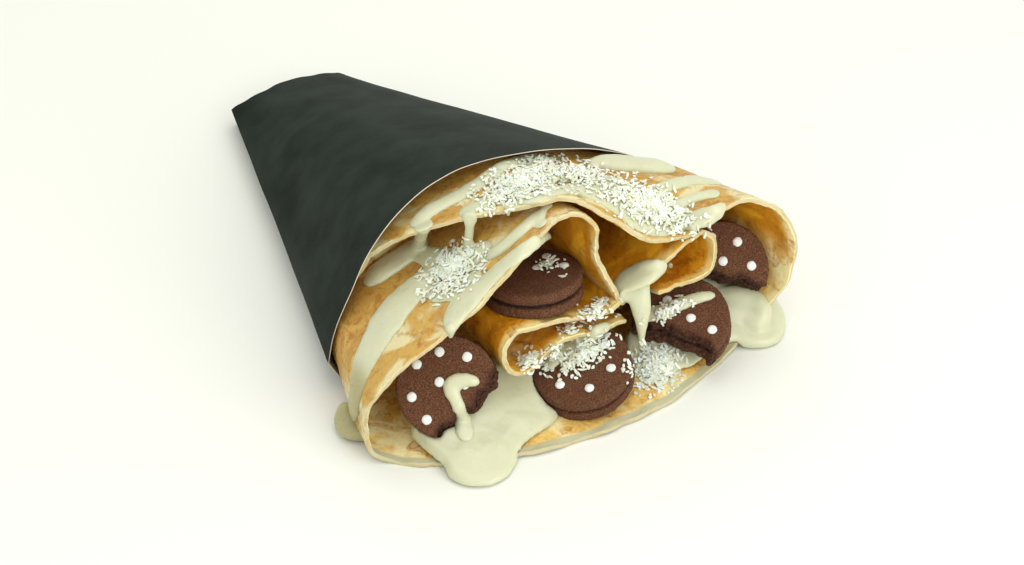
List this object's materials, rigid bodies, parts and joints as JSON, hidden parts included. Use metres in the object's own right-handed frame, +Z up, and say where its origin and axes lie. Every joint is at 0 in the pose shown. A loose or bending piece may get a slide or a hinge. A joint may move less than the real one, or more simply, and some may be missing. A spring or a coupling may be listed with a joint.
{
  "type": "folded crepe",
  "caption": "Folded crepe in a dark paper cone, lying open end forward, with cream, coconut shreds and sandwich cookies in its folds.",
  "frame": {"origin": "middle of the underside of the whole, on the table", "axes": "+X to the right and -Y out of the open mouth towards the eater, +Y towards the cone's closed flat end, +Z up"},
  "size_m": [0.1982, 0.274, 0.0876],
  "materials": {
    "crepe": "soft pale yellow crepe with golden brown spots and a thin pale edge",
    "black_paper": "uncoated charcoal paper, pale inside",
    "cream": "smooth pale pouring cream with white coconut",
    "cocoa_biscuit": "dry, fine-grained dark cocoa biscuit",
    "cocoa_filling": "dark cocoa cream"
  },
  "bodies": {
    "root": {"crepe": "crepe", "paper_sleeve": "black_paper", "cream_pool_front": "cream", "cream_pool_right": "cream", "cookie_left_top": "cocoa_biscuit", "cookie_left_filling": "cocoa_filling", "cookie_left_base": "cocoa_biscuit", "cookie_shelf_top": "cocoa_biscuit", "cookie_shelf_filling": "cocoa_filling", "cookie_shelf_base": "cocoa_biscuit", "cookie_front_top": "cocoa_biscuit", "cookie_front_filling": "cocoa_filling", "cookie_front_base": "cocoa_biscuit", "cookie_right_top": "cocoa_biscuit", "cookie_right_filling": "cocoa_filling", "cookie_right_base": "cocoa_biscuit", "cookie_far_top": "cocoa_biscuit", "cookie_far_filling": "cocoa_filling", "cookie_far_base": "cocoa_biscuit"}
  },
  "joints": []
}
